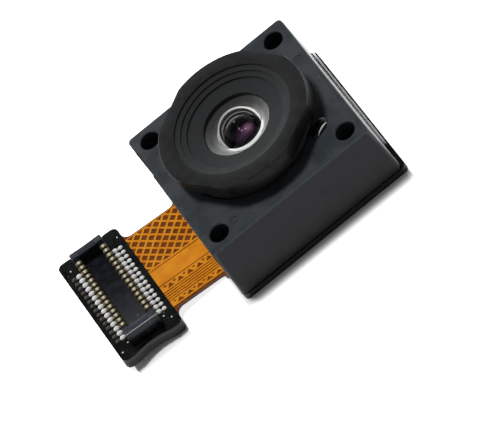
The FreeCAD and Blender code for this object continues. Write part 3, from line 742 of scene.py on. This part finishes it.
# %% [markdown]
# The barrel is the lens's outer body. From the rim it steps down towards the front glass in three
# low stairs, each tread falling slightly inwards, which keeps stray light away from the glass. Below
# its wide head is the neck with the fine thread that sets the focus.

# %% Barrel shape
HEAD_Z = 5.05
HEAD_R = 4.47
NECK_R = 3.88
THREAD_ROOT_R = 3.80
THREAD_PITCH = 0.22
hood = [(4.42, RIM_Z), (HOOD_R, RIM_Z), (HOOD_R, 5.9), (3.2, 5.84), (3.2, 5.74), (2.9, 5.68), (2.9, 5.56)]
bore = [(2.0, 5.5), (2.0, 2.25), (1.3, 2.25), (1.3, 2.1)]
shank = [(4.0, 2.1), (4.0, 4.08), (NECK_R, 4.28)]
thread = []
for turn in range(3):
    z = 4.34 + THREAD_PITCH * turn
    thread += [(NECK_R, z), (THREAD_ROOT_R, z + 0.09), (THREAD_ROOT_R, z + 0.12), (NECK_R, z + 0.21)]
head = [(NECK_R, HEAD_Z), (HEAD_R, HEAD_Z), (HEAD_R, RIM_Z - 0.05)]
barrel = turned("barrel", hood + bore + shank + thread + head)
print("barrel turned:", len(barrel.data.polygons), "faces")

# %% [markdown]
# Four flats on the head let a key turn the lens when it is focused. Each is made by bisecting the
# head with a plane and closing the cut. Nothing else of the barrel reaches so far out, so the plane
# trims only the head. The bevel comes last and breaks every sharp edge by a few hundredths.

# %% Flats and soft edges on the head
FLAT_FROM_AXIS = 4.22
FIRST_FLAT_DEG = 35

for quarter in range(4):
    angle = math.radians(FIRST_FLAT_DEG + 90 * quarter)
    outward = Vector((math.cos(angle), math.sin(angle), 0))
    edit(barrel)
    bpy.ops.mesh.select_all(action="SELECT")
    bpy.ops.mesh.bisect(plane_co=outward * FLAT_FROM_AXIS, plane_no=outward, use_fill=True, clear_outer=True)
soften(barrel, 0.03, 3, 14)
settle(barrel, "barrel_body", "lens_barrel", barrel_finish, smooth_deg=24)

# %% [markdown]
# The bezel is a satin metal ring between hood and glass. Its shallow cone mirrors the pale surround
# on the near side and the dimmer zenith on the far side, which is why it runs from white to grey. Its
# inner edge is painted brighter, a painted highlight.

# %% Bezel ring
def bezel_metal():
    finish = Finish("bezel_metal", (0.72, 0.72, 0.71), 0.22, 1.0)
    rings = finish.effect(turned_rings, Rings_per_mm=9.0)
    grain = finish.effect(moulded_grain, Pebbles_per_mm=24.0, Mottle_per_mm=3.0)
    satin = finish.mix(grain["Mottle"], (0.56, 0.57, 0.56), (0.66, 0.66, 0.65))
    # Painted highlight: the inner edge is painted nearly white.
    painted_inner_highlight = finish.below(finish.from_lens_axis(), 1.46, 1.66)
    finish.feed("Base Color", finish.mix(painted_inner_highlight, satin, (0.93, 0.93, 0.91)))
    finish.feed("Roughness", finish.between(grain["Mottle"], 0, 1, 0.14, 0.2))
    fine = finish.bump(grain["Height"], 0.003, 0.4)
    finish.feed("Normal", finish.bump(rings["Height"], 0.001, 0.4, fine))
    return finish.material


STACK_R = 1.98
FLANGE_Z = 4.8
bezel = turned("bezel", [(1.30, FLANGE_Z), (STACK_R, FLANGE_Z), (STACK_R, 5.29), (1.95, 5.29), (1.40, 5.09),
                         (1.33, 5.09), (1.285, 5.04)])
soften(bezel, 0.012, 2, 30)
settle(bezel, "bezel_ring_turned", "bezel_ring", bezel_metal())

# %% [markdown]
# The front glass is a steep dome with a hollow under it, the shape that gives a wide-angle lens its
# reach. Its index is set low, so that the dark barrel shows through without the double images that a
# thick shell would give. Its bright rim, brightest towards the near side, and a spark are painted
# highlights: a glow emitted by the outer skin alone, which stands for the reflections of a coated dome.

# %% Front dome
DOME_Z = 4.86
DOME_R = 1.27
HOLLOW_R = 1.11
DOME_FLANGE_Z = 4.42
dome_outline = arc((0, DOME_Z), DOME_R, 90, -2.7, 30)
dome_outline += [(STACK_R, FLANGE_Z), (STACK_R, DOME_FLANGE_Z), (HOLLOW_R, DOME_FLANGE_Z)]
dome_outline += arc((0, DOME_FLANGE_Z), HOLLOW_R, 6, 90, 22)


def front_glass():
    finish = Finish("front_glass", (0.94, 0.96, 0.96), 0.0)
    finish.set(IOR=1.18, Transmission_Weight=1.0, Emission_Strength=1.0)
    # Painted highlights: an emitted glow on the rim, brighter on the near side, and a spark.
    slant = finish.tree.nodes.new("ShaderNodeLayerWeight")
    slant.inputs["Blend"].default_value = 0.5
    rim = finish.between(slant.outputs["Facing"], 0.56, 0.70)
    rim = finish.times(rim, finish.between(finish.from_point((0, 0, DOME_Z)), DOME_R - 0.07, DOME_R - 0.03))
    rim = finish.times(rim, finish.seen_from_outside())
    near_side = finish.between(finish.along((0.7, -0.7, 0)), -1.1, 1.0)
    painted_rim_glow = finish.mix(near_side, (0.34, 0.34, 0.32), (0.85, 0.84, 0.8))
    light = finish.mix(rim, (0, 0, 0), painted_rim_glow)
    painted_spark = finish.below(finish.from_point((0.006, -0.354, 6.08)), 0.02, 0.06)
    finish.feed("Emission Color", finish.mix(painted_spark, light, (0.3, 0.3, 0.3)))
    return finish.material


settle(turned("dome", dome_outline), "front_glass", "front_element", front_glass(), smooth_deg=32)

# %% [markdown]
# Behind it sits the second element, whose anti-reflection coating sends back a purple light. It is
# the colour seen deep in every camera lens. That reflection is painted: the purple patch, the paler
# veil in it and three small sparks glow from the curved front of this glass.

# %% Second element with its coating
SECOND_Z = 3.82
SECOND_TOP = 4.22
radii = [k / 12 for k in range(13)]
second_outline = [(r, SECOND_TOP + 0.12 * (1 - r ** 2)) for r in radii]
second_outline += [(STACK_R, SECOND_TOP), (STACK_R, SECOND_Z)]
second_outline += [(r, SECOND_Z + 0.22 * (1 - r ** 2)) for r in reversed(radii)]


def purple_glass_painted_reflection():
    finish = Finish("purple_glass_painted_reflection", (0.86, 0.8, 0.92), 0.0)
    finish.set(IOR=1.55, Transmission_Weight=1.0, Specular_Tint=(0.5, 0.24, 0.44, 1), Emission_Strength=1.0)
    # Painted reflection: the coating's purple light, a paler veil and sparks, all emitted.
    painted_purple_patch = finish.below(finish.from_ellipsoid((0.33, 0.62, SECOND_TOP), (0.42, 0.5, 1.0)), 0.1, 1.0)
    light = finish.mix(painted_purple_patch, (0, 0, 0), (0.085, 0.038, 0.065))
    painted_veil = finish.below(finish.from_point((-0.05, 0.5, SECOND_TOP + 0.1)), 0.1, 0.75)
    light = finish.mix(painted_veil, light, finish.mix(painted_purple_patch, (0.02, 0.008, 0.02), (0.12, 0.06, 0.1)))
    for x, y, above in ((-0.08, 0.88, 0.03), (0.2, 0.54, 0.08), (-0.02, 0.6, 0.08)):
        painted_spark = finish.below(finish.from_point((x, y, SECOND_TOP + above)), 0.02, 0.07)
        light = finish.mix(painted_spark, light, (0.45, 0.36, 0.45))
    finish.feed("Emission Color", light)
    return finish.material


settle(turned("second", second_outline, 96), "second_glass", "second_element", purple_glass_painted_reflection(),
       smooth_deg=32)

# %% [markdown]
# Inside, everything that faces the light is flat black, so that the lens looks deep. The inner
# glasses and the filter are clear, with a coating that tints what little they send back.

# %% Black inner parts and clear inner glass
def coated_glass(name, colour, tint):
    finish = Finish(name, colour, 0.0)
    finish.set(IOR=1.3, Transmission_Weight=1.0, Specular_Tint=(*tint, 1))
    smear = finish.effect(moulded_grain, Pebbles_per_mm=3.0, Mottle_per_mm=1.2)
    finish.feed("Roughness", finish.between(smear["Mottle"], 0.3, 1, 0.0, 0.03))
    return finish.material


def plain_finish(name, colour, roughness, metallic=0.0, grain_per_mm=12.0, tone=0.25, bump_mm=0.004):
    finish = Finish(name, colour, roughness, metallic)
    grain = finish.effect(moulded_grain, Pebbles_per_mm=grain_per_mm, Mottle_per_mm=grain_per_mm / 8)
    darker = tuple(c * (1 - tone) for c in colour)
    lighter = tuple(min(1.0, c * (1 + tone)) for c in colour)
    finish.feed("Base Color", finish.mix(grain["Mottle"], darker, lighter))
    finish.feed("Roughness", finish.between(grain["Mottle"], 0, 1, roughness * 0.9, roughness * 1.1))
    finish.feed("Normal", finish.bump(grain["Height"], bump_mm, 0.5))
    return finish.material


def dress(material, *nodes):
    """Gives solids that keep their own shape a new finish."""
    for node in nodes:
        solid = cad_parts[node]
        solid.data.materials.clear()
        solid.data.materials.append(material)


dress(plain_finish("spacer_black", (0.004, 0.004, 0.004), 0.7), "front_spacer", "aperture_stop", "rear_spacer")
dress(coated_glass("inner_glass", (0.93, 0.95, 0.95), (0.6, 0.9, 0.7)), "third_element", "rear_element",
      "sensor_cover_glass")
dress(coated_glass("filter_glass", (0.7, 0.9, 0.95), (1.0, 0.5, 0.4)), "ir_filter")
dress(plain_finish("sensor_silicon", (0.07, 0.08, 0.1), 0.25), "image_sensor")
print("inner parts dressed")

# %% [markdown]
# Under the holder lies a stack of thin layers: a stiffener, the flexible film that goes on as the
# tail, a masked circuit layer and a bead of black glue. They keep the solids' own shape, since they
# are flat plates with plain edges. The masked layers are green-black lacquer over woven glass. On the
# ledge beside the polished wall a thin pale line is painted, a painted highlight.

# %% Layers under the holder
LEDGE_START_X = 5.51
LEDGE_END_X = 5.62


def board_mask_finish(name, colour, roughness):
    finish = Finish(name, colour, roughness)
    finish.set(Specular_IOR_Level=0.35)
    grain = finish.effect(moulded_grain, Pebbles_per_mm=7.0, Mottle_per_mm=1.6)
    specks = finish.effect(dust, Cells_per_mm=2.6, Speck_size=0.07)
    lighter = tuple(c * 2 + 0.002 for c in colour)
    skin = finish.mix(grain["Mottle"], colour, lighter)
    speckled = finish.mix(specks["Specks"], skin, (0.3, 0.29, 0.27))
    # Painted highlight: a pale line on the ledge beside the polished wall.
    across = finish.times(finish.between(finish.axis("X"), LEDGE_START_X - 0.01, LEDGE_START_X + 0.01),
                          finish.below(finish.axis("X"), LEDGE_END_X - 0.01, LEDGE_END_X + 0.01))
    painted_ledge_highlight = finish.times(across, finish.between(finish.axis("Y"), -3.5, -2.9))
    finish.feed("Base Color", finish.mix(painted_ledge_highlight, speckled, (0.86, 0.86, 0.86)))
    finish.feed("Roughness", finish.between(grain["Mottle"], 0, 1, roughness, roughness + 0.18))
    finish.feed("Normal", finish.bump(grain["Height"], 0.01, 0.6))
    return finish.material


dress(board_mask_finish("board_mask", (0.0015, 0.002, 0.0018), 0.16), "sensor_board", "board_coverlay")
dress(board_mask_finish("stiffener_sheet", (0.006, 0.004, 0.003), 0.28), "base_stiffener", "board_stiffener")
dress(plain_finish("black_glue", (0.01, 0.009, 0.008), 0.4), "holder_adhesive")
print("layers dressed")

# %% [markdown]
# The tail is amber film. Where it runs on under the holder and inside the plug's board it is
# lacquered dark, so its finish changes colour with the distance along the tail. The film is not
# quite even: its tone varies in a slow random mottle.

# %% Amber film
BOARD_X = -8.9


def amber_film():
    finish = Finish("amber_film", (0.17, 0.045, 0.004), 0.35)
    grain = finish.effect(moulded_grain, Pebbles_per_mm=6.0, Mottle_per_mm=0.9)
    along = finish.axis("X")
    amber = finish.mix(grain["Mottle"], (0.13, 0.03, 0.003), (0.2, 0.055, 0.005))
    under_holder = finish.between(along, TAIL_X - 0.03, TAIL_X + 0.02)
    in_board = finish.below(along, BOARD_X - 0.04, BOARD_X + 0.01)
    colour = finish.mix(under_holder, amber, (0.012, 0.008, 0.006))
    finish.feed("Base Color", finish.mix(in_board, colour, (0.03, 0.016, 0.008)))
    finish.feed("Roughness", finish.between(grain["Mottle"], 0, 1, 0.3, 0.4))
    finish.feed("Normal", finish.bump(grain["Height"], 0.006, 0.4))
    return finish.material


dress(amber_film(), "flex_film")
print("film dressed")

# %% [markdown]
# The copper lies on the film: mesh, a solid band, little trusses and fine traces. It is seen through
# a clear amber cover film, so its copper red turns to orange. The cover film is the solid's own
# shape. Its underside touches the copper, and a renderer can't tell two faces in one place apart, so
# the underside is lifted by a few thousandths of a millimetre.

# %% Copper and the clear cover film
def copper_under_film():
    finish = Finish("copper_under_film", (0.85, 0.31, 0.015), 0.34, 0.1)
    grain = finish.effect(moulded_grain, Pebbles_per_mm=11.0, Mottle_per_mm=1.3)
    finish.feed("Base Color", finish.mix(grain["Mottle"], (0.78, 0.25, 0.008), (0.9, 0.34, 0.014)))
    finish.feed("Roughness", finish.between(grain["Mottle"], 0, 1, 0.32, 0.46))
    finish.feed("Normal", finish.bump(grain["Height"], 0.005, 0.5))
    return finish.material


def cover_film():
    finish = Finish("cover_film", (0.7, 0.27, 0.015), 0.2)
    grain = finish.effect(moulded_grain, Pebbles_per_mm=3.0, Mottle_per_mm=0.7)
    finish.feed("Alpha", finish.seen_from_outside(0.05))
    finish.feed("Base Color", finish.mix(grain["Mottle"], (0.6, 0.22, 0.01), (0.75, 0.3, 0.02)))
    finish.feed("Roughness", finish.between(grain["Mottle"], 0, 1, 0.18, 0.3))
    finish.feed("Normal", finish.bump(grain["Height"], 0.012, 0.5))
    return finish.material


def cover_film_sheet():
    clear()
    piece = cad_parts["flex_coverlay"].copy()
    piece.data = piece.data.copy()
    bpy.context.scene.collection.objects.link(piece)
    piece.data.transform(Matrix.Scale(1 / MM, 4))
    edit(piece)
    bpy.ops.mesh.select_all(action="SELECT")
    bpy.ops.mesh.remove_doubles(threshold=0.0005)
    pick(piece, "FACE", lambda place, way: way.z < -0.9)
    bpy.ops.transform.translate(value=(0, 0, 0.008))
    clear()
    return piece


dress(copper_under_film(), "flex_copper")
settle(cover_film_sheet(), "cover_film_sheet", "flex_coverlay", cover_film())

# %% [markdown]
# Where the focus is set, a drop of black adhesive locks the lens to the holder. A drop is a ball, cut
# off by the surface that it sits on and flattened by its own weight. One white streak is painted along
# its glossy skin, a painted highlight.

# %% Drop of lock adhesive
def lock_drop():
    drop = half_ball("drop", 48, 24, 0.55, (1.2, 0.72, 0.5))
    turn = Matrix.Rotation(math.radians(30), 4, "Z")
    drop.data.transform(Matrix.Translation((3.37, -2.98, HOLDER_TOP)) @ turn)
    return drop


def lock_adhesive():
    finish = Finish("lock_adhesive", (0.004, 0.004, 0.005), 0.12)
    grain = finish.effect(moulded_grain, Pebbles_per_mm=4.0, Mottle_per_mm=1.5)
    # Painted highlight: a thin white streak on the drop's skin.
    painted_streak_highlight = finish.below(finish.from_ellipsoid((3.47, -3.25, HOLDER_TOP), (0.55, 0.032, 10), 26), 0.6, 1.0)
    finish.feed("Base Color", finish.mix(painted_streak_highlight, (0.002, 0.002, 0.0025), (0.85, 0.85, 0.84)))
    finish.feed("Normal", finish.bump(grain["Height"], 0.03, 0.5))
    return finish.material


settle(lock_drop(), "lock_drop", "lens_lock_adhesive", lock_adhesive(), 60)

# %% [markdown]
# The plug's housing is a low black tub moulded in one: a floor, two thick end walls and two long
# walls that carry the contacts. The long walls are a little lower and set back, so that the folded
# contacts come flush with the end walls. The tops of the end walls are painted paler than the rest,
# painted light, and a pale line along the front edge of the top is a painted highlight.

# %% Plug housing
PLUG_X = -10.6143
DECK_Z = 0.42
PLUG_TOP = DECK_Z + 0.95
TUB_HALF_X = 1.03
TUB_HALF_Y = 3.685
END_WALL_Y = 3.2


def wall_tool(name, side, from_x, to_x, z_low):
    low, high = sorted((PLUG_X + side * from_x, PLUG_X + side * to_x))
    return block(name, (low, -END_WALL_Y, z_low), (high, END_WALL_Y, 3))


def plug_tub():
    tub = block("plug", (PLUG_X - TUB_HALF_X, -TUB_HALF_Y, DECK_Z), (PLUG_X + TUB_HALF_X, TUB_HALF_Y, PLUG_TOP))
    bevel_edges(tub, lambda place, way: place.z > PLUG_TOP - 0.01, 0.06, 3)
    tools = [block("trough_tool", (PLUG_X - 0.65, -3.185, DECK_Z + 0.22), (PLUG_X + 0.65, 3.185, 3))]
    for side in (-1, 1):
        tools.append(wall_tool("side_tool", side, 0.97, 2, 0))
        tools.append(wall_tool("crown_tool", side, 0, 2.06, DECK_Z + 0.88))
    cut(tub, *tools)
    return soften(tub, 0.018, 2, 40)


def plug_plastic():
    finish = Finish("plug_plastic", (0.006, 0.007, 0.01), 0.36)
    grain = finish.effect(moulded_grain, Pebbles_per_mm=18.0, Mottle_per_mm=2.4)
    specks = finish.effect(dust, Cells_per_mm=4.0, Speck_size=0.12)
    skin = finish.mix(grain["Mottle"], (0.003, 0.004, 0.006), (0.012, 0.014, 0.02))
    # Painted light: paler tops on the end walls, and a painted highlight along the front edge.
    on_top = finish.between(finish.height_on_tail(), PLUG_TOP - 0.047, PLUG_TOP - 0.017)
    near_end = finish.below(finish.axis("Y"), -END_WALL_Y - 0.02, -END_WALL_Y + 0.02)
    far_end = finish.between(finish.axis("Y"), END_WALL_Y - 0.02, END_WALL_Y + 0.02)
    painted_front_edge_highlight = finish.below(finish.axis("Y"), -TUB_HALF_Y + 0.025, -TUB_HALF_Y + 0.065)
    for mask, colour in ((near_end, (0.035, 0.037, 0.055)), (far_end, (0.03, 0.034, 0.045)),
                         (painted_front_edge_highlight, (0.5, 0.5, 0.5))):
        skin = finish.mix(finish.times(on_top, mask), skin, colour)
    finish.feed("Base Color", finish.mix(specks["Specks"], skin, (0.2, 0.2, 0.2)))
    finish.feed("Roughness", finish.between(grain["Mottle"], 0, 1, 0.3, 0.42))
    finish.feed("Normal", finish.bump(grain["Height"], 0.006, 0.5))
    return finish.material


settle(plug_tub(), "plug_tub", "plug_housing", plug_plastic(), on_tail=True)

# %% [markdown]
# Thirty contacts are stamped from thin strip, folded over the long walls and plated with gold. One is
# drawn as a line seen from the end of the plug, pulled out to its width, given the strip's thickness
# and softened. Blender numbers its faces differently from run to run, so the side that gets the
# thickness is read from the inner wall, found by its place. The others are copies, and the second row
# is the first one turned about. The top of each fold is painted bright gold, a painted highlight, and
# the rest of the contact a dark gold, painted shade.

# %% Contacts
CONTACT_COUNT = 15
CONTACT_PITCH = 0.4
FIRST_CONTACT_Y = -CONTACT_PITCH * (CONTACT_COUNT - 1) / 2
CONTACT_WIDTH = 0.2
CONTACT_OUT = 1.02
CONTACT_IN = 0.60
CONTACT_TOP = DECK_Z + 0.93
FOLD_R = 0.12


def both_rows(name, first):
    row = [first] + [copy_of(first, (0, CONTACT_PITCH * k, 0)) for k in range(1, CONTACT_COUNT)]
    other = [copy_of(piece, turn_z_deg=180, centre=(PLUG_X, 0, 0)) for piece in row]
    return join(name, row + other)


def fold(centre_out, angles_deg):
    """Points round one corner of the fold, as (x, z) pairs."""
    angles = [math.radians(a) for a in angles_deg]
    x = PLUG_X - centre_out
    return [(x + FOLD_R * math.cos(a), CONTACT_TOP - FOLD_R + FOLD_R * math.sin(a)) for a in angles]


def one_contact(y):
    points = [(PLUG_X - CONTACT_IN, DECK_Z + 0.3), (PLUG_X - CONTACT_IN, CONTACT_TOP - FOLD_R)]
    points += fold(CONTACT_IN + FOLD_R, (22, 45, 68, 90)) + fold(CONTACT_OUT - FOLD_R, (90, 112, 135, 158, 180))
    points += [(PLUG_X - CONTACT_OUT, DECK_Z + 0.07), (PLUG_X - 1.25, DECK_Z + 0.07)]
    strip = draw_outline("contact", points, closed=False)
    bpy.ops.transform.translate(value=(0, y - CONTACT_WIDTH / 2, 0))
    bpy.ops.mesh.extrude_region_move(TRANSFORM_OT_translate={"value": (0, CONTACT_WIDTH, 0)})
    bpy.ops.mesh.select_all(action="SELECT")
    bpy.ops.mesh.normals_make_consistent(inside=False)
    clear()
    inner_wall = min(strip.data.polygons, key=lambda face: abs(face.center.x - PLUG_X + CONTACT_IN))
    outwards = inner_wall.normal.x > 0
    modify(strip, "SOLIDIFY", thickness=0.05, offset=-1 if outwards else 1)
    return soften(strip, 0.01, 2, 50)


def contact_gold():
    finish = Finish("contact_gold", (0.5, 0.38, 0.15), 0.25, 0.5)
    grain = finish.effect(moulded_grain, Pebbles_per_mm=14.0, Mottle_per_mm=3.0)
    painted_crest_highlight = None
    # Painted highlight on the crest of each fold; the rest is painted dark gold, painted shade.
    for side in (1, -1):
        middle = Vector((PLUG_X + side * (CONTACT_IN + CONTACT_OUT) / 2, 0, CONTACT_TOP))
        x = (RAISED @ middle).x
        here = finish.times(finish.between(finish.axis("X"), x - 0.11, x - 0.05),
                            finish.below(finish.axis("X"), x + 0.05, x + 0.11))
        painted_crest_highlight = here if painted_crest_highlight is None else maths(finish.tree, "MAXIMUM", painted_crest_highlight, here)
    shaded_gold = finish.mix(grain["Mottle"], (0.1, 0.07, 0.015), (0.2, 0.15, 0.04))
    finish.feed("Base Color", finish.mix(painted_crest_highlight, shaded_gold, (0.95, 0.85, 0.6)))
    finish.feed("Normal", finish.bump(grain["Height"], 0.004, 0.5))
    return finish.material


settle(both_rows("contacts", one_contact(FIRST_CONTACT_Y)), "contact_rows", "plug_contacts", contact_gold(),
       on_tail=True)

# %% [markdown]
# Each contact's foot is soldered to its pad: a bright mound over the foot and a lower one that runs
# out along the pad. Each mound is half a stretched ball, the shape that melted solder takes. The tin is
# painted nearly white, which stands for the bright reflections of its shiny skin, a painted reflection.
# The last mounds towards the board's outer edge are brown with flux.

# %% Solder joints
FLUX_X = -12.23


def mound(from_plug, half_sizes):
    piece = half_ball("mound", 16, 10, 1, half_sizes)
    piece.data.transform(Matrix.Translation((PLUG_X - from_plug, FIRST_CONTACT_Y, DECK_Z)))
    return piece


def joint_solder():
    finish = Finish("joint_solder", (0.95, 0.95, 0.94), 0.25, 0.1)
    grain = finish.effect(moulded_grain, Pebbles_per_mm=8.0, Mottle_per_mm=2.0)
    # Painted reflection: the tin is painted nearly white.
    bright = finish.mix(grain["Mottle"], (0.93, 0.93, 0.92), (0.99, 0.99, 0.98))
    fluxed = finish.below(finish.axis("X"), FLUX_X - 0.03, FLUX_X + 0.03)
    finish.feed("Base Color", finish.mix(fluxed, bright, (0.1, 0.08, 0.065)))
    finish.feed("Normal", finish.bump(grain["Height"], 0.012, 0.5))
    return finish.material


joint = join("joint", [mound(1.19, (0.20, 0.155, 0.15)), mound(1.535, (0.15, 0.13, 0.10))])
settle(both_rows("joints", joint), "solder_joints", "plug_solder", joint_solder(), 60, on_tail=True)

# %% [markdown]
# What is left is small: tinned pips on the board, the plug's anchors, and the parts under the holder.

# %% Small metal parts
solder = plain_finish("bright_solder", (0.95, 0.95, 0.94), 0.2, 0.35, 8.0, 0.04, 0.012)
dress(solder, "board_vias", "sensor_solder_balls", "capacitor_terminals")
dress(plain_finish("anchor_metal", (0.1, 0.11, 0.13), 0.4, 0.6), "plug_anchors")
dress(plain_finish("capacitor_ceramic", (0.45, 0.34, 0.24), 0.4), "capacitors")
print("small parts dressed")
